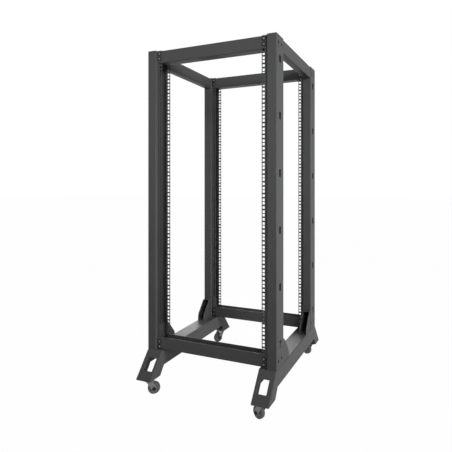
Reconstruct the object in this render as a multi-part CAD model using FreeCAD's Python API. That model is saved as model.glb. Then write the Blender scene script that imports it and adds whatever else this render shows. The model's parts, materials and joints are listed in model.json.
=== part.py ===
import FreeCAD, Part
import math
import os

# Four post open frame rack, 19 inch, on two side rails with splayed feet and swivel casters.
# Millimetres. X runs to the right, Y to the rear, Z up. The origin is on the floor,
# under the middle of the rack.

# Rack pattern
RACK_UNIT = 44.45
RACK_UNITS = 28
HOLE_SIZE = 9.5
HOLE_PITCH = 15.875
RACK_OPENING = 450.0
HOLE_INSET = 7.56
BEAM_UNITS = 1

# Frame
FRAME_DEPTH = 550.0
SHEET = 2.0
BEND_RADIUS = 3.0
POST_DEPTH = 80.0
POST_END_MARGIN = 2.8
FACE_WIDTH = 37.0
FACE_STEP = 10.0
STEP_SLOPE = 4.0
STRIP_WIDTH = 22.0
BOLT_HOLE = 7.0
BOLT_SPACING = 35.0
BOLT_INSET = 29.0
SLOT_LENGTH = 28.0
SLOT_WIDTH = 20.0
SLOT_INSET = 87.0
SLOT_COUNT = 6

# Beams
BEAM_HEIGHT = 50.0
BEAM_DEPTH = 45.0
BEAM_INSET = 3.0
BEAM_GAP = 1.0
TENON_END_GAP = 4.0
NOTCH_GAP = 0.5

# Side rails and feet
RAIL_OVERLAP = 8.0
RAIL_HEIGHT = 62.0
RAIL_SHEET = 2.5
RAIL_BEND = 4.0
FOOT_DROP = 98.0
FOOT_REACH = 80.0
FOOT_HEEL = 12.0
FOOT_KNEE = 26.0
WINDOW_WIDTH = 40.0
WINDOW_HEIGHT = 52.0
WINDOW_TOP = 34.0
WINDOW_SIDE = 11.5
SOCKET_HEIGHT = 92.0
SOCKET_REACH = 68.0
SOCKET_LIP = 30.0
SOCKET_TOP = 14.0
SOCKET_BEND = 18.0
FOOT_PLATE = 3.0

# Casters
WHEEL_RADIUS = 25.0
TYRE_WIDTH = 18.0
RIM_RADIUS = 17.0
RIM_GAP = 0.05
HUB_RADIUS = 8.0
HUB_GAP = 0.3
WHEEL_CLEARANCE = 5.0
AXLE_RADIUS = 4.0
AXLE_END = 4.0
RUNNING_FIT = 0.08
SEAT_FIT = 0.05
TRAIL = 22.0
FORK_SHEET = 2.5
FORK_EYE = 9.0
CROWN_RADIUS = 17.0
CROWN_REACH = 16.5
RACE_HEIGHT = 7.5
CASTER_PLATE = 2.5
CASTER_PLATE_SIDE = 56.0
SWIVEL_GAP = 0.3
KING_PIN_RADIUS = 5.0
KING_PIN_HEAD = 7.0
KING_PIN_HEAD_LENGTH = 2.5
CASTER_INSET = 37.0
# the way each caster trails at rest, in degrees from +X
CASTER_HEADINGS = {
    "front_left": 38.0,
    "front_right": 156.0,
    "rear_left": 248.0,
    "rear_right": 156.0,
}

# Worked out from the sizes above
HOLE_COLUMNS = RACK_OPENING + 2 * HOLE_INSET
HALF_WIDTH = RACK_OPENING / 2 + STRIP_WIDTH + STEP_SLOPE + FACE_WIDTH
HALF_DEPTH = FRAME_DEPTH / 2
POST_HEIGHT = RACK_UNITS * RACK_UNIT + 2 * POST_END_MARGIN
CROWN_BOTTOM = 2 * WHEEL_RADIUS + WHEEL_CLEARANCE + SWIVEL_GAP
CROWN_TOP = CROWN_BOTTOM + FORK_SHEET
FOOT_BOTTOM = CROWN_TOP + RACE_HEIGHT + CASTER_PLATE
RAIL_TOP = FOOT_BOTTOM + FOOT_DROP
RAIL_BOTTOM = RAIL_TOP - RAIL_HEIGHT
POST_TOP = RAIL_TOP + POST_HEIGHT
WEB_INSIDE = HALF_WIDTH - SHEET
STRIP_PLANE = HALF_DEPTH - FACE_STEP
INNER_STRIP_PLANE = HALF_DEPTH - POST_DEPTH + FACE_STEP
TENON_END = HALF_DEPTH - SHEET - TENON_END_GAP
TENON_INSIDE = HALF_WIDTH - FACE_WIDTH + SHEET
BEAM_BOTTOM = POST_TOP - BEAM_INSET - BEAM_HEIGHT
RAIL_INSIDE = RACK_OPENING / 2 - RAIL_OVERLAP
POST_MIDDLE = HALF_DEPTH - POST_DEPTH / 2
RAIL_MIDDLE = (RAIL_INSIDE + HALF_WIDTH) / 2
CASTER_Y = HALF_DEPTH + FOOT_REACH - CASTER_INSET
CHEEK_INSIDE = TYRE_WIDTH / 2 + WHEEL_CLEARANCE

parts = {}


def box(x0, x1, y0, y1, z0, z1):
    return Part.makeBox(x1 - x0, y1 - y0, z1 - z0, FreeCAD.Vector(x0, y0, z0))


def prism_x(outline, x0, x1):
    """A solid with a closed (y, z) outline, from x0 to x1."""
    points = [FreeCAD.Vector(x0, y, z) for y, z in outline]
    face = Part.Face(Part.makePolygon(points + points[:1]))
    return face.extrude(FreeCAD.Vector(x1 - x0, 0, 0))


def cylinder_x(x0, x1, y, z, radius):
    return Part.makeCylinder(radius, x1 - x0, FreeCAD.Vector(x0, y, z), FreeCAD.Vector(1, 0, 0))


def fillet_along_x(solid, radius, keep):
    """Rounds the edges that run along X at the (y, z) points for which keep says yes."""
    edges = []
    for edge in solid.Edges:
        start, end = edge.Vertexes[0].Point, edge.Vertexes[-1].Point
        if abs(start.y - end.y) < 1e-6 and abs(start.z - end.z) < 1e-6 and keep(start.y, start.z):
            edges.append(edge)
    return solid.makeFillet(radius, edges)


def mirrored(shape, side, end):
    """The front right piece, turned to its side and end of the rack."""
    middle = FreeCAD.Vector(0, 0, 0)
    if side == "left":
        shape = shape.mirror(middle, FreeCAD.Vector(1, 0, 0))
    if end == "rear":
        shape = shape.mirror(middle, FreeCAD.Vector(0, 1, 0))
    return shape


def folded_sheet(path, height, base):
    """A sheet folded along an (x, y) path, with rounded bends, standing on base."""
    radius = BEND_RADIUS - SHEET / 2
    points = [FreeCAD.Vector(x, y, base) for x, y in path]
    edges = []
    start = points[0]
    for before, corner, after in zip(points, points[1:], points[2:]):
        to_before = (before - corner).normalize()
        to_after = (after - corner).normalize()
        half_turn = to_before.getAngle(to_after) / 2
        setback = radius / math.tan(half_turn)
        bend_start = corner + to_before * setback
        bend_end = corner + to_after * setback
        inward = (to_before + to_after).normalize()
        bend_middle = corner + inward * (radius / math.sin(half_turn) - radius)
        edges.append(Part.LineSegment(start, bend_start).toShape())
        edges.append(Part.Arc(bend_start, bend_middle, bend_end).toShape())
        start = bend_end
    edges.append(Part.LineSegment(start, points[-1]).toShape())
    spine = Part.Wire(edges)
    one_side = spine.makeOffset2D(SHEET / 2, 0, False, True)
    other_side = spine.makeOffset2D(-SHEET / 2, 0, False, True)
    ends = []
    for end in (0, -1):
        corners = [wire.OrderedVertexes[end].Point for wire in (one_side, other_side)]
        ends.append(corners)
    first, second = ends
    if (first[0] - first[1]).Length > 2 * SHEET:
        first, second = [first[0], second[1]], [second[0], first[1]]
    caps = [Part.LineSegment(*pair).toShape() for pair in (first, second)]
    outline = Part.Wire(Part.__sortEdges__(one_side.Edges + other_side.Edges + caps))
    return Part.Face(outline).extrude(FreeCAD.Vector(0, 0, height))


def slot_heights():
    """The middles of the oblong openings in a post's web."""
    low = RAIL_TOP + SLOT_INSET
    high = POST_TOP - SLOT_INSET
    return [low + (high - low) * n / (SLOT_COUNT - 1) for n in range(SLOT_COUNT)]


def rack_holes(strip_y):
    """The square holes of one strip, three to each rack unit between the beams."""
    holes = []
    x = HOLE_COLUMNS / 2
    half = HOLE_SIZE / 2
    first_middle = RAIL_TOP + POST_END_MARGIN + RACK_UNIT / 2
    for unit in range(BEAM_UNITS, RACK_UNITS - BEAM_UNITS):
        for offset in (-HOLE_PITCH, 0, HOLE_PITCH):
            z = first_middle + unit * RACK_UNIT + offset
            holes.append(box(x - half, x + half, strip_y - SHEET, strip_y + SHEET, z - half, z + half))
    return holes


def web_cutters():
    """The bolt holes at both ends of a post's web, and the oblong openings between them."""
    cutters = []
    outside = HALF_WIDTH + SHEET
    inside = WEB_INSIDE - SHEET
    for z in (RAIL_TOP + BOLT_INSET, POST_TOP - BOLT_INSET):
        for y in (-POST_MIDDLE - BOLT_SPACING / 2, -POST_MIDDLE + BOLT_SPACING / 2):
            cutters.append(cylinder_x(inside, outside, y, z, BOLT_HOLE / 2))
    front = -POST_MIDDLE - SLOT_WIDTH / 2
    rear = -POST_MIDDLE + SLOT_WIDTH / 2
    for z in slot_heights():
        cutters.append(box(inside, outside, front, rear, z - SLOT_LENGTH / 2, z + SLOT_LENGTH / 2))
    return cutters


def make_post():
    """A channel with stepped flanges: plain outer faces and set back strips with rack holes."""
    half_sheet = SHEET / 2
    web = HALF_WIDTH - half_sheet
    front = -HALF_DEPTH + half_sheet
    front_strip = -STRIP_PLANE + half_sheet
    rear_strip = -INNER_STRIP_PLANE - half_sheet
    rear = -HALF_DEPTH + POST_DEPTH - half_sheet
    step_out = HALF_WIDTH - FACE_WIDTH
    step_in = step_out - STEP_SLOPE
    strip_edge = RACK_OPENING / 2
    path = [
        (strip_edge, front_strip), (step_in, front_strip), (step_out, front), (web, front),
        (web, rear), (step_out, rear), (step_in, rear_strip), (strip_edge, rear_strip),
    ]
    post = folded_sheet(path, POST_HEIGHT, RAIL_TOP)
    cutters = rack_holes(front_strip) + rack_holes(rear_strip) + web_cutters()
    # the face towards the middle of the rack is notched for the side beam and the socket
    notch_inside = TENON_INSIDE - NOTCH_GAP
    notch_front = rear - 2 * BEND_RADIUS
    notch_rear = rear + SHEET
    beam_notch = BEAM_BOTTOM - NOTCH_GAP
    socket_notch = RAIL_TOP + SOCKET_HEIGHT + NOTCH_GAP
    cutters.append(box(notch_inside, WEB_INSIDE, notch_front, notch_rear, beam_notch, POST_TOP + SHEET))
    cutters.append(box(notch_inside, WEB_INSIDE, notch_front, notch_rear, RAIL_TOP - SHEET, socket_notch))
    return marked_seat(post.cut(cutters))


def marked_seat(post):
    """The post with its outer strip parted where the crossbeams' tabs end."""
    lines = []
    for z in (RAIL_TOP + BEAM_INSET + BEAM_HEIGHT + BEAM_GAP, BEAM_BOTTOM - BEAM_GAP):
        start = FreeCAD.Vector(RACK_OPENING / 2 - SHEET, -STRIP_PLANE, z)
        end = FreeCAD.Vector(HALF_WIDTH - FACE_WIDTH, -STRIP_PLANE, z)
        lines.append(Part.LineSegment(start, end).toShape())
    return post.generalFuse(lines)[0].Solids[0]


def make_crossbeam():
    """A channel, open above, between two posts, with end tabs that lie in front of the rack strips."""
    half_length = RACK_OPENING / 2 - BEAM_GAP
    tab_end = RACK_OPENING / 2 + STRIP_WIDTH - 2 * BEAM_GAP
    body = box(-half_length, half_length, -SHEET, BEAM_DEPTH - SHEET, 0, BEAM_HEIGHT)
    body = fillet_along_x(body, BEND_RADIUS, lambda y, z: z < SHEET)
    hollow = box(-tab_end, tab_end, 0, BEAM_DEPTH - 2 * SHEET, SHEET, BEAM_HEIGHT + SHEET)
    beam = body.cut(hollow)
    for x0, x1 in ((-tab_end, -half_length), (half_length, tab_end)):
        beam = beam.fuse(box(x0, x1, -SHEET, 0, BEND_RADIUS, BEAM_HEIGHT))
    return beam.removeSplitter()


def make_side_beam():
    """A channel, open above, that passes through the notches and ends inside the posts."""
    high = POST_TOP - BEAM_INSET
    beam = box(TENON_INSIDE, WEB_INSIDE, -TENON_END, TENON_END, BEAM_BOTTOM, high)
    bends = [edge for edge in beam.Edges if edge.BoundBox.ZMax < high and edge.BoundBox.YLength > TENON_END]
    beam = beam.makeFillet(BEND_RADIUS, bends)
    cutters = [box(TENON_INSIDE + SHEET, WEB_INSIDE - SHEET, -HALF_DEPTH, HALF_DEPTH, BEAM_BOTTOM + SHEET, POST_TOP)]
    for end in (-1, 1):
        for offset in (-BOLT_SPACING / 2, BOLT_SPACING / 2):
            y = end * POST_MIDDLE + offset
            cutters.append(cylinder_x(WEB_INSIDE - 2 * SHEET, HALF_WIDTH, y, POST_TOP - BOLT_INSET, BOLT_HOLE / 2))
    return beam.cut(cutters)


def make_socket():
    """A folded bracket on the side rail: it holds the post's foot between two cheeks that slope away behind."""
    post_back = -HALF_DEPTH + POST_DEPTH
    top = RAIL_TOP + SOCKET_HEIGHT
    toe = post_back + SOCKET_REACH
    outline = [
        (-TENON_END, RAIL_TOP), (-TENON_END, top), (post_back + SOCKET_TOP, top),
        (toe - BEND_RADIUS, RAIL_TOP + SOCKET_LIP), (toe, RAIL_TOP),
    ]
    block = prism_x(outline, TENON_INSIDE, WEB_INSIDE)
    block = fillet_along_x(block, SOCKET_BEND, lambda y, z: y > post_back and z > RAIL_TOP + SHEET)
    cutters = [box(TENON_INSIDE + SHEET, WEB_INSIDE - SHEET, -TENON_END + SHEET, toe + SHEET, RAIL_TOP - SHEET, top - SHEET)]
    for offset in (-BOLT_SPACING / 2, BOLT_SPACING / 2):
        y = -POST_MIDDLE + offset
        cutters.append(cylinder_x(WEB_INSIDE - 2 * SHEET, HALF_WIDTH, y, RAIL_TOP + BOLT_INSET, BOLT_HOLE / 2))
    return block.cut(cutters)


def foot_front(z, depth):
    """Where the sloping front of a foot is at height z, depth inside its outer face."""
    slope = FOOT_REACH / FOOT_DROP
    return -HALF_DEPTH - (RAIL_TOP - z) * slope + depth * math.hypot(1, slope)


def make_rail():
    """A folded channel, open below, whose ends splay down and out into windowed feet."""
    heel = HALF_DEPTH + FOOT_HEEL
    knee = heel - FOOT_KNEE
    outline = [
        (-HALF_DEPTH, RAIL_TOP), (-HALF_DEPTH - FOOT_REACH, FOOT_BOTTOM), (-heel, FOOT_BOTTOM),
        (-knee, RAIL_BOTTOM), (knee, RAIL_BOTTOM), (heel, FOOT_BOTTOM),
        (HALF_DEPTH + FOOT_REACH, FOOT_BOTTOM), (HALF_DEPTH, RAIL_TOP),
    ]
    rail = prism_x(outline, RAIL_INSIDE, HALF_WIDTH)
    bends = []
    for edge in rail.Edges:
        bounds = edge.BoundBox
        lengthwise = bounds.XLength < SHEET and bounds.ZMax > RAIL_TOP - SHEET
        if lengthwise or bounds.ZMin > RAIL_TOP - SHEET:
            bends.append(edge)
    rail = rail.makeFillet(RAIL_BEND, bends)
    ceiling = RAIL_TOP - RAIL_SHEET
    below = FOOT_BOTTOM - RAIL_SHEET
    hollow = prism_x([
        (foot_front(ceiling, RAIL_SHEET), ceiling), (foot_front(below, RAIL_SHEET), below),
        (-foot_front(below, RAIL_SHEET), below), (-foot_front(ceiling, RAIL_SHEET), ceiling),
    ], RAIL_INSIDE + RAIL_SHEET, HALF_WIDTH - RAIL_SHEET)
    rail = rail.cut(hollow)
    window_x = RAIL_INSIDE + WINDOW_SIDE
    window = box(window_x, window_x + WINDOW_WIDTH, -HALF_DEPTH - 2 * RAIL_SHEET, -HALF_DEPTH + 2 * RAIL_SHEET,
                 RAIL_TOP - WINDOW_TOP - WINDOW_HEIGHT, RAIL_TOP - WINDOW_TOP)
    splay = math.degrees(math.atan(FOOT_REACH / FOOT_DROP))
    window.rotate(FreeCAD.Vector(0, -HALF_DEPTH, RAIL_TOP), FreeCAD.Vector(1, 0, 0), -splay)
    return rail.cut([window, mirrored(window, "right", "rear")])


def make_foot_plate():
    """The level plate inside a foot that a caster is bolted to."""
    top = FOOT_BOTTOM + FOOT_PLATE
    heel = -HALF_DEPTH - FOOT_HEEL
    outline = [
        (foot_front(FOOT_BOTTOM, RAIL_SHEET), FOOT_BOTTOM), (heel, FOOT_BOTTOM),
        (heel, top), (foot_front(top, RAIL_SHEET), top),
    ]
    return prism_x(outline, RAIL_INSIDE + RAIL_SHEET, HALF_WIDTH - RAIL_SHEET)


def make_swivel_plate():
    """The caster's fixed top plate, its upper race and the king pin that the fork turns on."""
    half = CASTER_PLATE_SIDE / 2
    plate_bottom = FOOT_BOTTOM - CASTER_PLATE
    plate = box(-half, half, -half, half, plate_bottom, FOOT_BOTTOM)
    race_bottom = CROWN_TOP + SWIVEL_GAP
    race = Part.makeCylinder(CROWN_RADIUS, plate_bottom - race_bottom, FreeCAD.Vector(0, 0, race_bottom))
    pin_bottom = CROWN_BOTTOM - SWIVEL_GAP
    pin = Part.makeCylinder(KING_PIN_RADIUS, race_bottom - pin_bottom, FreeCAD.Vector(0, 0, pin_bottom))
    head_bottom = pin_bottom - KING_PIN_HEAD_LENGTH
    head = Part.makeCylinder(KING_PIN_HEAD, KING_PIN_HEAD_LENGTH, FreeCAD.Vector(0, 0, head_bottom))
    return plate.fuse([race, pin, head]).removeSplitter()


def tangent_point(x, z, side):
    """Where a line from (x, z) touches the fork's eye round the axle."""
    dx = TRAIL - x
    dz = WHEEL_RADIUS - z
    distance = math.hypot(dx, dz)
    turn = math.atan2(dz, dx) + side * math.asin(FORK_EYE / distance)
    reach = math.sqrt(distance ** 2 - FORK_EYE ** 2)
    return x + reach * math.cos(turn), z + reach * math.sin(turn)


def make_fork():
    """A round crown with two cheeks that narrow to an eye at the axle."""
    crown = Part.makeCylinder(CROWN_RADIUS, FORK_SHEET, FreeCAD.Vector(0, 0, CROWN_BOTTOM))
    half_span = CHEEK_INSIDE + FORK_SHEET
    strap = box(0, CROWN_REACH, -half_span, half_span, CROWN_BOTTOM, CROWN_TOP)
    crown = crown.fuse(strap)
    shoulder = math.sqrt(CROWN_RADIUS ** 2 - CHEEK_INSIDE ** 2)
    back = (-shoulder, CROWN_TOP)
    front = (CROWN_REACH, CROWN_TOP)
    back_touch = tangent_point(*back, -1)
    front_touch = tangent_point(*front, 1)

    def at(point):
        return FreeCAD.Vector(point[0], CHEEK_INSIDE, point[1])

    eye_bottom = (TRAIL, WHEEL_RADIUS - FORK_EYE)
    edges = [
        Part.LineSegment(at(front), at(back)).toShape(),
        Part.LineSegment(at(back), at(back_touch)).toShape(),
        Part.Arc(at(back_touch), at(eye_bottom), at(front_touch)).toShape(),
        Part.LineSegment(at(front_touch), at(front)).toShape(),
    ]
    cheek = Part.Face(Part.Wire(edges)).extrude(FreeCAD.Vector(0, FORK_SHEET, 0))
    other = cheek.mirror(FreeCAD.Vector(0, 0, 0), FreeCAD.Vector(0, 1, 0))
    fork = crown.fuse([cheek, other]).removeSplitter()
    king_hole = Part.makeCylinder(KING_PIN_RADIUS + RUNNING_FIT, CROWN_TOP, FreeCAD.Vector(0, 0, 0))
    axle_hole = Part.makeCylinder(AXLE_RADIUS + SEAT_FIT, 4 * half_span,
                                  FreeCAD.Vector(TRAIL, -2 * half_span, WHEEL_RADIUS), FreeCAD.Vector(0, 1, 0))
    return fork.cut([king_hole, axle_hole])


def turned_on_axle(profile):
    """A solid of revolution round the axle from a closed (radius, y) profile."""
    points = [FreeCAD.Vector(TRAIL + radius, y, WHEEL_RADIUS) for radius, y in profile]
    face = Part.Face(Part.makePolygon(points + points[:1]))
    return face.revolve(FreeCAD.Vector(TRAIL, 0, WHEEL_RADIUS), FreeCAD.Vector(0, 1, 0), 360)


def make_axle():
    end = CHEEK_INSIDE + FORK_SHEET + AXLE_END
    return turned_on_axle([(0, -end), (AXLE_RADIUS, -end), (AXLE_RADIUS, end), (0, end)])


def make_tyre():
    half = TYRE_WIDTH / 2
    return turned_on_axle([(RIM_RADIUS, -half), (WHEEL_RADIUS, -half), (WHEEL_RADIUS, half), (RIM_RADIUS, half)])


def make_hub():
    """A wheel centre that widens at its hub, which runs on the axle between the cheeks."""
    rim = RIM_RADIUS - RIM_GAP
    half = TYRE_WIDTH / 2
    bore = AXLE_RADIUS + RUNNING_FIT
    end = CHEEK_INSIDE - HUB_GAP
    return turned_on_axle([(bore, -end), (HUB_RADIUS, -end), (rim, -half), (rim, half), (HUB_RADIUS, end), (bore, end)])


def place_caster(shape, side, end):
    """A caster piece made round the king pin, turned to its heading and moved under its foot."""
    placed = shape.copy()
    placed.rotate(FreeCAD.Vector(0, 0, 0), FreeCAD.Vector(0, 0, 1), CASTER_HEADINGS[end + "_" + side])
    x = RAIL_MIDDLE if side == "right" else -RAIL_MIDDLE
    y = -CASTER_Y if end == "front" else CASTER_Y
    placed.translate(FreeCAD.Vector(x, y, 0))
    return placed


post = make_post()
socket = make_socket()
foot_plate = make_foot_plate()
swivel_plate = make_swivel_plate()
turning = {
    "fork": make_fork(),
    "axle": make_axle(),
    "hub": make_hub(),
    "tyre": make_tyre(),
}
for end in ("front", "rear"):
    for side in ("left", "right"):
        corner = end + "_" + side
        parts["post_" + corner] = mirrored(post, side, end)
        parts["post_socket_" + corner] = mirrored(socket, side, end)
        parts["foot_plate_" + corner] = mirrored(foot_plate, side, end)
        x = RAIL_MIDDLE if side == "right" else -RAIL_MIDDLE
        y = -CASTER_Y if end == "front" else CASTER_Y
        fixed = swivel_plate.copy()
        fixed.translate(FreeCAD.Vector(x, y, 0))
        parts["caster_plate_" + corner] = fixed
        for name, shape in turning.items():
            parts["caster_" + name + "_" + corner] = place_caster(shape, side, end)
side_beam = make_side_beam()
rail = make_rail()
for side in ("left", "right"):
    parts["top_beam_" + side] = mirrored(side_beam, side, "front")
    parts["base_rail_" + side] = mirrored(rail, side, "front")
crossbeam = make_crossbeam()
for end, face_y in (("front", -STRIP_PLANE), ("rear", INNER_STRIP_PLANE)):
    for level, low in (("top", BEAM_BOTTOM), ("bottom", RAIL_TOP + BEAM_INSET)):
        beam = crossbeam.copy()
        beam.translate(FreeCAD.Vector(0, face_y, low))
        parts[level + "_beam_" + end] = beam

os.makedirs("parts", exist_ok=True)
for name, shape in parts.items():
    shape.exportStep(os.path.join("parts", name + ".step"))
print(len(parts), "parts")
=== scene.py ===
import bpy
import bmesh
import json
import math
from mathutils import Matrix, Vector


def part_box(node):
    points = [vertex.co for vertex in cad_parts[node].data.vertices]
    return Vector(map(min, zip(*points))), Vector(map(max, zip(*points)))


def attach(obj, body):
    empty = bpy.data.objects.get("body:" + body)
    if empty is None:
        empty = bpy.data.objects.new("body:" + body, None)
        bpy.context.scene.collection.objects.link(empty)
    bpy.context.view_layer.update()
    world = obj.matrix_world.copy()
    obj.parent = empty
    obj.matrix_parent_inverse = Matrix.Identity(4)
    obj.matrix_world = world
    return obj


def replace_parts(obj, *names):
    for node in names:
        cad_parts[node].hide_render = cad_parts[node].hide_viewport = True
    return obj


# Four post open frame rack in charcoal powder coat, on side rails with swivel casters.
# Metres. X runs to the right, Y to the rear, Z up, as in the frame.

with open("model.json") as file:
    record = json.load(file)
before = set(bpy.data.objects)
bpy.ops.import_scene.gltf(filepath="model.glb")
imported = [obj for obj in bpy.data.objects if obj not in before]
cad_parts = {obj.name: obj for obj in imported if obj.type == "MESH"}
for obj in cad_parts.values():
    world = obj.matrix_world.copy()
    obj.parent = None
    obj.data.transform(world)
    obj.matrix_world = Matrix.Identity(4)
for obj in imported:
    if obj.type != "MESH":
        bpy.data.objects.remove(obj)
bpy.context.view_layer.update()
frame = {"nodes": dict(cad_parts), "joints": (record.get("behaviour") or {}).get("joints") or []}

CORNERS = ["front_left", "front_right", "rear_left", "rear_right"]
CROSSBEAMS = ["top_beam_front", "top_beam_rear", "bottom_beam_front", "bottom_beam_rear"]

# Where the screws and bolts sit
SHEET = 0.002
TAB_SCREW_X = 0.2345
UNIT_MARGIN = 0.0028
TAB_SCREWS = [0.0109, 0.0315]
WEB_BOLT_INSET = 0.029
WEB_BOLT_SPACING = 0.035
PLATE_BOLT_SPREAD = 0.021
# the radius of the black ring painted round each web bolt
BOLT_RING_RADIUS = 0.0065

# Screws, bolts, nuts and washers: radius, and how far they stand up
TAB_HEAD = (0.0042, 0.0026)
TAB_FLANGE = (0.0095, 0.0012)
WEB_HEAD = (0.0033, 0.0012)
NUT = (0.0058, 0.0048)
PLATE_BOLT = (0.0046, 0.0030)
PLATE_NUT = (0.0055, 0.0044)
PLATE_WASHER = (0.0062, 0.0010)
AXLE_HEAD = (0.0066, 0.0030)
AXLE_NUT = (0.0066, 0.0024)
AXLE_WASHER = (0.0078, 0.0008)
BOLT_THREAD = 0.003

# Casters: the top plate, the axle bolt and the tyre
PLATE_THICKNESS = 0.0025
PLATE_CORNER = 0.005
PLATE_EDGE = 0.0004
KING_PIN_GAP = 0.0003
FORK_EDGE = 0.0005
AXLE_RADIUS = 0.004
AXLE_THREAD = 0.0036
AXLE_HALF = 0.0165
TYRE_HALF = 0.009

# Looks
SMOOTH_ANGLE = math.radians(32)
COAT_TINT = 0.0008
ZINC_TINT = 0.002
PAPER = 0.55
FLOOR_WHITE = 0.985
FLOOR_REACH = 30.0
SKY = 0.35
SKY_LEAN = 0.05

# Camera: sensor and lens in millimetres, its shift as a share of the frame
SENSOR = 36.0
LENS = 32.8667256637
SHIFT = (-0.0730973451, -0.0871017699)
SEEN_FROM = (0.80912, -1.70333, 0.84702)
SEEN_TURN = math.radians(22.468)

LEFT = Vector((-1, 0, 0))
RIGHT = Vector((1, 0, 0))
FRONT = Vector((0, -1, 0))
REAR = Vector((0, 1, 0))
UP = Vector((0, 0, 1))
DOWN = Vector((0, 0, -1))


class Value:
    """A shader socket that does arithmetic: each operator adds a Math node."""

    def __init__(self, finish, socket):
        self.finish = finish
        self.socket = socket

    def math(self, operation, *others):
        values = {0: self}
        values.update({n + 1: other for n, other in enumerate(others)})
        return self.finish.node("ShaderNodeMath", {"operation": operation}, values)

    def __add__(self, other):
        return self.math("ADD", other)

    __radd__ = __add__

    def __mul__(self, other):
        return self.math("MULTIPLY", other)

    def __sub__(self, other):
        return self.math("SUBTRACT", other)

    def __pow__(self, other):
        return self.math("POWER", other)

    def absolute(self):
        return self.math("ABSOLUTE")

    def clamped(self):
        return self.finish.node("ShaderNodeClamp", {}, {0: self})


class Finish:
    """A material, built from the coordinates of the piece it is on."""

    def __init__(self, name, owner=None, output="ShaderNodeOutputMaterial"):
        self.owner = owner or bpy.data.materials.new(name)
        self.owner.use_nodes = True
        self.tree = self.owner.node_tree
        self.tree.nodes.clear()
        self.output = output
        self.place = self.node("ShaderNodeTexCoord", {}, {}, "Object")

    def node(self, kind, settings, values, output=0):
        made = self.tree.nodes.new(kind)
        for name, setting in settings.items():
            setattr(made, name, setting)
        for name, value in values.items():
            if isinstance(value, Value):
                self.tree.links.new(value.socket, made.inputs[name])
            else:
                made.inputs[name].default_value = value
        return Value(self, made.outputs[output])

    def noise(self, scale, detail=2.0, roughness=0.5):
        values = {"Vector": self.place, "Scale": scale, "Detail": detail, "Roughness": roughness}
        return self.node("ShaderNodeTexNoise", {}, values)

    def axis(self, name):
        return self.node("ShaderNodeSeparateXYZ", {}, {0: self.place}, name)

    def ramp(self, value, low, high):
        values = {"Value": value, "From Min": low, "From Max": high}
        return self.node("ShaderNodeMapRange", {}, values)

    def mixed(self, factor, first, second):
        settings = {"data_type": "RGBA"}
        return self.node("ShaderNodeMix", settings, {"Factor": factor, 6: first, 7: second}, 2)

    def edges(self, radius):
        """1 on an edge's narrow rounding and 0 on flat metal, and the rounded normal."""
        rounded = self.node("ShaderNodeBevel", {"samples": 4}, {"Radius": radius})
        flat = self.node("ShaderNodeNewGeometry", {}, {}, "True Normal")
        product = {"operation": "DOT_PRODUCT"}
        dot = self.node("ShaderNodeVectorMath", product, {0: rounded, 1: flat}, "Value")
        return self.ramp(dot, 1.0, 0.8), rounded

    def bump(self, height, distance, normal=None):
        values = {"Height": height, "Distance": distance, "Strength": 1.0}
        if normal is not None:
            values["Normal"] = normal
        return self.node("ShaderNodeBump", {}, values)

    def finished(self, base, roughness, normal, fixed=None):
        values = {"Base Color": base, "Roughness": roughness, "Normal": normal, **(fixed or {})}
        self.node_output(self.node("ShaderNodeBsdfPrincipled", {}, values))
        return self.owner

    def seen_white(self, amount):
        """How much of the white backdrop a ray sees: camera, mirrored and transmitted rays only."""
        seen = self.node("ShaderNodeLightPath", {}, {}, "Is Camera Ray")
        mirrored = self.node("ShaderNodeLightPath", {}, {}, "Is Glossy Ray")
        through = self.node("ShaderNodeLightPath", {}, {}, "Is Transmission Ray")
        return (seen * amount + mirrored + through).clamped()

    def node_output(self, shader):
        output = self.tree.nodes.new(self.output)
        self.tree.links.new(shader.socket, output.inputs["Surface"])


def grey(shade, tint=0.0):
    return (shade - tint, shade, shade + tint, 1.0)


def powder_coat(name, rounding=0.0008, edge_highlight=0.35, highlight_shade=0.11, painted_light_scale=1.0, bolt_rings=False):
    """Charcoal powder coat: a fine grain of pale specks over a faint orange peel.
    A painted highlight lightens each edge's rounding, and a painted-light factor can make the whole
    coat paler.
    With bolt rings, a black ring is painted round each bolt in the web of a post."""
    finish = Finish(name)
    grain = finish.noise(1500.0, detail=1.0, roughness=0.4)
    peel = finish.noise(420.0, detail=2.0, roughness=0.55)
    cloud = finish.noise(7.0, detail=3.0, roughness=0.5)
    specks = finish.ramp(grain, 0.62, 0.78)
    edge, rounded = finish.edges(rounding)
    # painted light: both shades are scaled by the painted-light factor
    base = finish.mixed(cloud, grey(0.068 * painted_light_scale, COAT_TINT), grey(0.080 * painted_light_scale, COAT_TINT))
    base = finish.mixed(specks * 0.35, base, grey(0.10))
    # painted highlight: each edge's rounding is mixed towards a paler grey
    base = finish.mixed(edge * edge_highlight, base, grey(highlight_shade))
    if bolt_rings:
        # a black ring is painted round each web bolt
        base = finish.mixed(dark_bolt_rings(finish), base, grey(0.008))
    rough = 0.40 + cloud * 0.06 + grain * 0.10
    normal = finish.bump(peel * 0.7 + grain * 0.3, 0.00012, rounded)
    return finish.finished(base, rough, normal, {"IOR": 1.5, "Specular IOR Level": 0.07})


def dark_bolt_rings(finish):
    """1 within a dark ring's radius of a web bolt's axis, on the web's outside, and 0 elsewhere."""
    low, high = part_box("post_rear_right")
    across = finish.axis("X").absolute()
    along = finish.axis("Y").absolute()
    height = finish.axis("Z")
    sideways = (along - (low.y + high.y) / 2).absolute() - WEB_BOLT_SPACING / 2
    lower = (height - (low.z + WEB_BOLT_INSET)).absolute()
    upper = (height - (high.z - WEB_BOLT_INSET)).absolute()
    upright = lower.math("MINIMUM", upper)
    distance = (sideways * sideways + upright * upright) ** 0.5
    ring = finish.ramp(distance, BOLT_RING_RADIUS + 0.0002, BOLT_RING_RADIUS)
    outside = finish.ramp(across, high.x - 0.75 * SHEET, high.x - 0.5 * SHEET)
    return ring * outside


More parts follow.
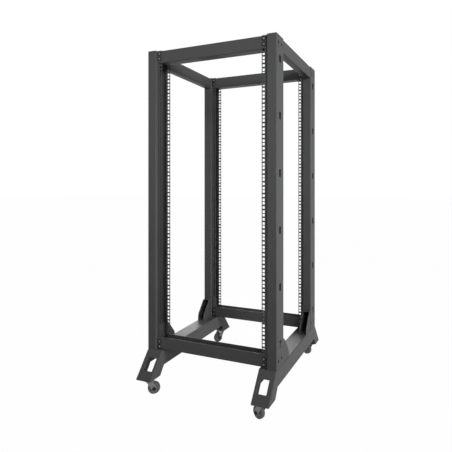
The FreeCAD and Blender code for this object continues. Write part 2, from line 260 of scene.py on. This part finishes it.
def black_steel():
    """Blackened steel of the screws, a little worn on the corners."""
    finish = Finish("black_steel")
    grain = finish.noise(900.0, detail=3.0, roughness=0.6)
    edge, rounded = finish.edges(0.0003)
    base = finish.mixed(grain, grey(0.008), grey(0.014))
    base = finish.mixed(edge * 0.4, base, grey(0.05))
    rough = 0.42 + grain * 0.16
    normal = finish.bump(grain, 0.00004, rounded)
    return finish.finished(base, rough, normal, {"Specular IOR Level": 0.2})


def zinc_plate():
    """Dull zinc plate with a faint mottle and a fine grain."""
    finish = Finish("dull_zinc_plate")
    mottle = finish.noise(160.0, detail=4.0, roughness=0.6)
    grain = finish.noise(1100.0)
    edge, rounded = finish.edges(0.0004)
    base = finish.mixed(mottle, grey(0.14, ZINC_TINT), grey(0.21, ZINC_TINT))
    base = finish.mixed(edge * 0.5, base, grey(0.36))
    rough = 0.40 + mottle * 0.14 + grain * 0.06
    normal = finish.bump(grain, 0.00003, rounded)
    return finish.finished(base, rough, normal, {"Metallic": 0.85})


def tyre_rubber():
    """Matt grey-black rubber that has picked up a little dust."""
    finish = Finish("caster_tyre_rubber")
    grain = finish.noise(1300.0, detail=2.0, roughness=0.6)
    dust = finish.noise(70.0, detail=4.0, roughness=0.65)
    base = finish.mixed(finish.ramp(dust, 0.45, 0.75) * 0.5, grey(0.085), grey(0.140))
    return finish.finished(base, 0.58 + grain * 0.2, finish.bump(grain, 0.00006))


def hub_nylon():
    """Moulded grey nylon."""
    finish = Finish("caster_hub_nylon")
    grain = finish.noise(800.0)
    cloud = finish.noise(60.0)
    edge, rounded = finish.edges(0.0005)
    base = finish.mixed(cloud, grey(0.190), grey(0.250))
    base = finish.mixed(edge * 0.4, base, grey(0.33))
    normal = finish.bump(grain, 0.00004, rounded)
    return finish.finished(base, 0.38 + grain * 0.15, normal)


COAT = powder_coat("charcoal_powder_coat")
POST_COAT = powder_coat("post_powder_coat", bolt_rings=True)
# The base rails' coat is a paler copy of the charcoal coat: painted light on the side plates, and a
# stronger painted highlight on the bends.
PRESSED_COAT = powder_coat(
    "pressed_sheet_powder_coat", rounding=0.003, edge_highlight=0.7, highlight_shade=0.17, painted_light_scale=1.12)
BLACK = black_steel()
ZINC = zinc_plate()
RUBBER = tyre_rubber()
NYLON = hub_nylon()


def paint(node, material):
    """Gives a CAD node its finish."""
    mesh = frame["nodes"][node].data
    mesh.materials.clear()
    mesh.materials.append(material)


def finish_piece(shape, name, material, body):
    """Makes a bmesh the piece called name, riding on body."""
    bmesh.ops.remove_doubles(shape, verts=shape.verts, dist=1e-6)
    bmesh.ops.recalc_face_normals(shape, faces=shape.faces)
    mesh = bpy.data.meshes.new(name)
    shape.to_mesh(mesh)
    shape.free()
    mesh.materials.append(material)
    piece = bpy.data.objects.new(name, mesh)
    bpy.context.scene.collection.objects.link(piece)
    for face in mesh.polygons:
        face.use_smooth = True
    mesh.set_sharp_from_angle(angle=SMOOTH_ANGLE)
    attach(piece, body)
    return piece


def turn_to(direction):
    """The turn that takes +Z to a direction."""
    return UP.rotation_difference(direction).to_matrix().to_4x4()


def spun(shape, profile, segments=32):
    """Spins a (radius, height) profile about Z into a closed solid and returns its new vertices."""
    before = set(shape.verts)
    verts = [shape.verts.new((radius, 0, height)) for radius, height in profile]
    edges = [shape.edges.new(pair) for pair in zip(verts, verts[1:])]
    bmesh.ops.spin(shape, geom=verts + edges, cent=(0, 0, 0), axis=(0, 0, 1),
                   angle=math.tau, steps=segments, use_merge=True)
    added = [vert for vert in shape.verts if vert not in before]
    bmesh.ops.remove_doubles(shape, verts=added, dist=1e-7)
    return [vert for vert in shape.verts if vert not in before]


def put(shape, verts, position, direction, spin=0.0):
    """Moves vertices made at the origin along Z to a place and direction."""
    matrix = Matrix.Translation(position) @ turn_to(direction) @ Matrix.Rotation(spin, 4, "Z")
    bmesh.ops.transform(shape, matrix=matrix, verts=verts)


def hexed(verts, low, high, radius):
    """Pulls the round vertices near a radius and height range to a hexagon."""
    sixth = math.pi / 3
    for vert in verts:
        reach = math.hypot(vert.co.x, vert.co.y)
        if low <= vert.co.z <= high and abs(reach - radius) < 1e-5:
            turn = math.atan2(vert.co.y, vert.co.x) % sixth
            stretch = math.cos(sixth / 2) / math.cos(turn - sixth / 2)
            vert.co.x *= stretch
            vert.co.y *= stretch


def socket_screw(shape, position, direction, head, spin=0.0):
    """A low domed head with a hexagon socket."""
    radius, height = head
    socket = radius * 0.42
    depth = height * 0.35
    verts = spun(shape, [
        (0, depth), (socket, depth), (socket, height), (radius * 0.62, height * 0.97),
        (radius * 0.86, height * 0.72), (radius, height * 0.3), (radius, 0), (0, 0),
    ], 24)
    hexed(verts, depth - 1e-5, height + 1e-5, socket)
    put(shape, verts, position, direction, spin)


def hex_nut(shape, position, direction, size, thread=BOLT_THREAD, spin=0.0):
    """A chamfered hexagon nut with the end of its bolt standing through it."""
    radius, height = size
    verts = spun(shape, [
        (0, height * 1.3), (thread * 0.8, height * 1.3), (thread, height * 1.2),
        (thread, height * 0.92), (radius * 0.84, height), (radius, height * 0.84),
        (radius, height * 0.16), (radius * 0.84, 0), (0, 0),
    ], 24)
    hexed(verts, height * 0.15, height * 0.85, radius)
    put(shape, verts, position, direction, spin)


def hex_head(shape, position, direction, size, spin=0.0):
    """A hexagon head with a chamfered, slightly dished top."""
    radius, height = size
    verts = spun(shape, [
        (0, height * 0.86), (radius * 0.6, height * 0.9), (radius * 0.84, height),
        (radius, height * 0.84), (radius, 0), (0, 0),
    ], 24)
    hexed(verts, -1e-5, height * 0.85, radius)
    put(shape, verts, position, direction, spin)


def flat_washer(shape, position, direction, size):
    radius, height = size
    verts = spun(shape, [
        (0, height), (radius * 0.93, height), (radius, height * 0.7), (radius, 0), (0, 0),
    ], 24)
    put(shape, verts, position, direction)


def beam_screws(beam):
    """The screws in a crossbeam's end tabs, each on a black flange, with a nut behind the strip."""
    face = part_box(beam)[0].y
    shape = bmesh.new()
    flanges = bmesh.new()
    top = beam.startswith("top")
    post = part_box("post_front_left")
    edge = post[1].z - UNIT_MARGIN if top else post[0].z + UNIT_MARGIN
    way = -1 if top else 1
    for side in (-1, 1):
        for n, inset in enumerate(TAB_SCREWS):
            place = Vector((side * TAB_SCREW_X, face, edge + way * inset))
            flat_washer(flanges, place, FRONT, TAB_FLANGE)
            on_flange = place + FRONT * TAB_FLANGE[1]
            socket_screw(shape, on_flange, FRONT, TAB_HEAD, spin=0.4 + 1.3 * n + side)
            hex_nut(flanges, place + REAR * 2 * SHEET, REAR, NUT, spin=0.2 + n)
    finish_piece(flanges, "flanges_" + beam, BLACK, "frame")
    finish_piece(shape, "screws_" + beam, ZINC, "frame")


def web_bolts(corner):
    """The bolts through a post's web into the side beam above and the socket below."""
    low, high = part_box("post_" + corner)
    shape = bmesh.new()
    outside = RIGHT if corner.endswith("right") else LEFT
    face = high.x if corner.endswith("right") else low.x
    middle = (low.y + high.y) / 2
    for z in (low.z + WEB_BOLT_INSET, high.z - WEB_BOLT_INSET):
        for n, offset in enumerate((-WEB_BOLT_SPACING / 2, WEB_BOLT_SPACING / 2)):
            place = Vector((face, middle + offset, z))
            socket_screw(shape, place - outside * SHEET, outside, WEB_HEAD, spin=0.5 + n)
            hex_nut(shape, place - outside * 2 * SHEET, -outside, NUT, spin=n * 0.6)
    finish_piece(shape, "web_bolts_" + corner, BLACK, "frame")


def joint_place(name):
    for joint in frame["joints"]:
        if joint["name"] == name:
            return Vector(joint["pos_m"])


class Caster:
    """Where a corner's caster stands, and how it is turned at rest."""

    def __init__(self, corner):
        self.corner = corner
        self.king_pin = joint_place("swivel_" + corner)
        self.axle = joint_place("roll_" + corner)
        trail = self.axle - self.king_pin
        turn = Matrix.Rotation(math.atan2(trail.y, trail.x), 4, "Z")
        lie = Matrix.Rotation(math.radians(-90), 4, "X")
        self.on_axle = Matrix.Translation(self.axle) @ turn @ lie
        low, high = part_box("caster_tyre_" + corner)
        self.wheel_radius = (high.z - low.z) / 2


def turned(caster, profile, segments):
    """A closed (radius, half width) profile, spun about the caster's axle."""
    shape = bmesh.new()
    spun(shape, profile + profile[:1], segments)
    bmesh.ops.transform(shape, matrix=caster.on_axle, verts=shape.verts)
    return shape


def stand_in(shape, name, material, body, node):
    """Makes a bmesh the piece called name, in place of a CAD node."""
    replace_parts(finish_piece(shape, name, material, body), node)


def caster_tyre(caster):
    """A tyre with a low crown, a bead at the rim and a faint parting line."""
    outer = caster.wheel_radius
    half = TYRE_HALF
    side = [
        (0.0170, half - 0.0006), (0.0178, half), (0.0192, half), (0.0197, half - 0.0005),
        (0.0222, half - 0.0006), (0.0238, half - 0.0016), (outer - 0.0004, half - 0.0036),
        (outer - 0.0001, half - 0.0062), (outer - 0.0001, 0.0003),
    ]
    profile = side + [(outer, 0)] + [(radius, -y) for radius, y in reversed(side)]
    stand_in(turned(caster, profile, 72), "tyre_" + caster.corner, RUBBER,
             "wheel_" + caster.corner, "caster_tyre_" + caster.corner)


def caster_hub(caster):
    """The moulded wheel centre: a rim, a dished web and a long hub on the axle."""
    side = [
        (0.0169, 0.0086), (0.0152, 0.0086), (0.0147, 0.0080), (0.0140, 0.0046),
        (0.0130, 0.0040), (0.0098, 0.0040), (0.0088, 0.0046), (0.0082, 0.0070),
        (0.0078, 0.0132), (0.0073, 0.0137), (0.0041, 0.0137),
    ]
    profile = side + [(radius, -y) for radius, y in reversed(side)]
    stand_in(turned(caster, profile, 64), "wheel_centre_" + caster.corner, NYLON,
             "wheel_" + caster.corner, "caster_hub_" + caster.corner)


def caster_axle(caster):
    """The axle bolt: a hexagon head at one cheek and a nut at the other, each on a washer."""
    half, radius = AXLE_HALF, AXLE_RADIUS
    on_washer = half + AXLE_WASHER[1]
    shape = bmesh.new()
    spun(shape, [(0, -half), (radius, -half), (radius, half), (0, half)], 32)
    for direction in (UP, DOWN):
        flat_washer(shape, direction * half, direction, AXLE_WASHER)
    hex_nut(shape, UP * on_washer, UP, AXLE_NUT, AXLE_THREAD)
    hex_head(shape, DOWN * on_washer, DOWN, AXLE_HEAD)
    bmesh.ops.transform(shape, matrix=caster.on_axle, verts=shape.verts)
    stand_in(shape, "axle_bolt_" + caster.corner, BLACK,
             "caster_" + caster.corner, "caster_axle_" + caster.corner)


def rise(edge):
    """How far an edge's ends differ in height."""
    return abs(edge.verts[0].co.z - edge.verts[1].co.z)


def round_edges(shape, edges, radius, segments):
    bmesh.ops.bevel(shape, geom=edges, offset=radius, affect="EDGES", segments=segments,
                    profile=0.5, material=-1)


def caster_plate(caster):
    """The bolted top plate, with the domed upper race and the riveted king pin below it."""
    node = "caster_plate_" + caster.corner
    low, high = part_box(node)
    thick = PLATE_THICKNESS
    shape = bmesh.new()
    plate = bmesh.ops.create_cube(shape, size=1.0)["verts"]
    bmesh.ops.scale(shape, vec=(high.x - low.x, high.y - low.y, thick), verts=plate)
    bmesh.ops.translate(shape, vec=(0, 0, high.z - thick / 2), verts=plate)
    round_edges(shape, [edge for edge in shape.edges if rise(edge) > thick / 2], PLATE_CORNER, 6)
    rims = [edge for edge in shape.edges if rise(edge) < thick / 2
            and len(edge.link_faces) == 2 and edge.calc_face_angle(0) > 1.0]
    round_edges(shape, rims, PLATE_EDGE, 2)
    race_top = high.z - thick
    race_bottom = caster.king_pin.z + KING_PIN_GAP
    drop = race_top - race_bottom
    spun(shape, [
        (0, race_top), (0.0165, race_top), (0.0169, race_top - drop * 0.3),
        (0.0166, race_top - drop * 0.75), (0.0152, race_bottom), (0, race_bottom),
    ], 48)
    pin_foot = low.z
    spun(shape, [
        (0, race_bottom), (0.0049, race_bottom), (0.0049, pin_foot + 0.0025),
        (0.0069, pin_foot + 0.0024), (0.0069, pin_foot + 0.0012), (0.0052, pin_foot + 0.0001),
        (0, pin_foot),
    ], 32)
    place = Matrix.Translation((caster.king_pin.x, caster.king_pin.y, 0))
    bmesh.ops.transform(shape, matrix=place, verts=shape.verts)
    stand_in(shape, "swivel_plate_" + caster.corner, ZINC, "frame", node)


def caster_fork(caster):
    """The pressed fork: the CAD form with its edges rounded."""
    node = "caster_fork_" + caster.corner
    shape = bmesh.new()
    shape.from_mesh(frame["nodes"][node].data)
    bmesh.ops.remove_doubles(shape, verts=shape.verts, dist=2e-6)
    bmesh.ops.dissolve_limit(shape, angle_limit=math.radians(1), verts=shape.verts,
                             edges=shape.edges)
    fork = finish_piece(shape, "fork_" + caster.corner, ZINC, "caster_" + caster.corner)
    rounding = fork.modifiers.new("pressed_edges", "BEVEL")
    rounding.width = FORK_EDGE
    rounding.segments = 2
    rounding.limit_method = "ANGLE"
    rounding.angle_limit = math.radians(40)
    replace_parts(fork, node)


def caster_bolts(caster):
    """The four bolts through the caster's plate and the foot plate."""
    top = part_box("foot_plate_" + caster.corner)[1].z
    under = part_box("caster_plate_" + caster.corner)[1].z - PLATE_THICKNESS
    shape = bmesh.new()
    for x in (-PLATE_BOLT_SPREAD, PLATE_BOLT_SPREAD):
        for y in (-PLATE_BOLT_SPREAD, PLATE_BOLT_SPREAD):
            place = Vector((caster.king_pin.x + x, caster.king_pin.y + y, under))
            hex_head(shape, place, DOWN, PLATE_BOLT)
            place.z = top
            flat_washer(shape, place, UP, PLATE_WASHER)
            hex_nut(shape, place + UP * PLATE_WASHER[1], UP, PLATE_NUT, spin=x * 20)
    finish_piece(shape, "caster_bolts_" + caster.corner, ZINC, "frame")


for name in frame["nodes"]:
    if name.startswith("base_rail"):
        paint(name, PRESSED_COAT)
    elif name.startswith("post") and "socket" not in name:
        paint(name, POST_COAT)
    elif not name.startswith("caster"):
        paint(name, COAT)
for beam in CROSSBEAMS:
    beam_screws(beam)
for corner in CORNERS:
    web_bolts(corner)
    caster = Caster(corner)
    caster_tyre(caster)
    caster_hub(caster)
    caster_axle(caster)
    caster_plate(caster)
    caster_fork(caster)
    caster_bolts(caster)


def studio():
    """A white studio: a pale floor and an even sky."""
    shape = bmesh.new()
    bmesh.ops.create_grid(shape, x_segments=1, y_segments=1, size=FLOOR_REACH)
    mesh = bpy.data.meshes.new("studio_floor")
    shape.to_mesh(mesh)
    shape.free()
    floor = bpy.data.objects.new("studio_floor", mesh)
    bpy.context.scene.collection.objects.link(floor)
    finish = Finish("studio_paper")
    paper = finish.node("ShaderNodeBsdfDiffuse", {}, {"Color": grey(PAPER)})
    glow = finish.node("ShaderNodeEmission", {}, {"Color": grey(1.0), "Strength": 1.0})
    white = finish.seen_white(FLOOR_WHITE)
    finish.node_output(finish.node("ShaderNodeMixShader", {}, {0: white, 1: paper, 2: glow}))
    mesh.materials.append(finish.owner)

    sky = Finish("studio_sky", bpy.data.worlds.new("studio_sky"), "ShaderNodeOutputWorld")
    bpy.context.scene.world = sky.owner
    direction = sky.node("ShaderNodeTexCoord", {}, {}, "Generated")
    rightward = sky.node("ShaderNodeSeparateXYZ", {}, {0: direction}, "X")
    strength = rightward * SKY_LEAN + SKY
    even = sky.node("ShaderNodeBackground", {}, {"Color": grey(1.0), "Strength": strength})
    white = sky.node("ShaderNodeBackground", {}, {"Color": grey(1.0), "Strength": 1.0})
    shown = sky.seen_white(1.0)
    sky.node_output(sky.node("ShaderNodeMixShader", {}, {0: shown, 1: even, 2: white}))


def soft_panel(name, place, target, size, power, spread):
    """A square area lamp of a power in watts, aimed at target, its spread in degrees."""
    light = bpy.data.lights.new(name, "AREA")
    light.shape = "SQUARE"
    light.size = size
    light.energy = power
    light.spread = math.radians(spread)
    lamp = bpy.data.objects.new(name, light)
    lamp.location = place
    lamp.rotation_euler = (Vector(target) - Vector(place)).to_track_quat("-Z", "Y").to_euler()
    bpy.context.scene.collection.objects.link(lamp)


def camera():
    """Seen from the front right at about the height of the rack's middle."""
    lens = bpy.data.cameras.new("camera")
    lens.sensor_width = SENSOR
    lens.lens = LENS
    lens.shift_x, lens.shift_y = SHIFT
    lens.clip_start = 0.05
    lens.clip_end = 100.0
    seen_from = bpy.data.objects.new("camera", lens)
    seen_from.location = SEEN_FROM
    seen_from.rotation_euler = (math.radians(90), 0, SEEN_TURN)
    bpy.context.scene.collection.objects.link(seen_from)
    bpy.context.scene.camera = seen_from


studio()
soft_panel("right_panel", (3.0, -3.0, 2.1), (0, 0, 1.2), size=1.0, power=5.8, spread=36)
soft_panel("left_panel", (-3.4, -2.6, 1.9), (0, 0, 1.2), size=1.0, power=1.3, spread=34)
soft_panel("rear_panel", (-1.3, 2.6, 1.4), (0, 0, 0.1), size=1.6, power=13.0, spread=70)
soft_panel("side_panel", (4.2, -0.7, 1.6), (0, 0, 0.5), size=0.8, power=4.4, spread=34)
camera()
bpy.context.scene.view_settings.view_transform = "Standard"
